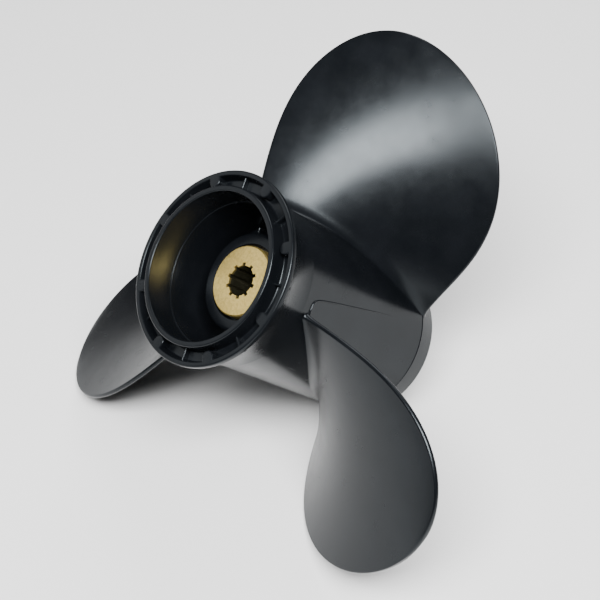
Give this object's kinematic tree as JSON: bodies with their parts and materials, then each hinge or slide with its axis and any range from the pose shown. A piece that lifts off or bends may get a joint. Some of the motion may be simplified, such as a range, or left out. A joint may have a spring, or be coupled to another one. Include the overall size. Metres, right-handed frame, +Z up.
{
  "type": "outboard motor propeller",
  "caption": "Right-hand boat propeller with broad rounded blades on a hollow exhaust hub, painted black, with a splined brass sleeve in a rubber cushion.",
  "frame": {"origin": "on the shaft line, at the mouth of the splined sleeve, in the plane where the thrust washer seats", "axes": "+Z up as the propeller stands on a flat surface, on two blades and the rear end of the hub; the shaft line lies in the YZ plane, its engine end towards -Y and raised 47.8 degrees; +X to the right seen from the engine side"},
  "size_m": [0.208, 0.1686, 0.1372],
  "materials": {
    "black_paint": "satin black paint over die-cast aluminium",
    "brass": "fine machined",
    "rubber": "moulded"
  },
  "bodies": {
    "casting": {"hub_barrel": "black_paint", "inner_hub": "black_paint", "rib_1": "black_paint", "rib_2": "black_paint", "rib_3": "black_paint", "blade_1": "black_paint", "blade_2": "black_paint", "blade_3": "black_paint", "rubber_bush": "rubber"},
    "sleeve": {"splined_sleeve": "brass"}
  },
  "joints": [
    {"name": "cushion_twist", "type": "hinge", "parent": "casting", "child": "sleeve", "pos_m": [0, 0.02398, -0.02645], "axis": [0, 0.6717, -0.7408], "range_deg": [-6, 6], "stiffness_Nm_per_rad": 770}
  ]
}
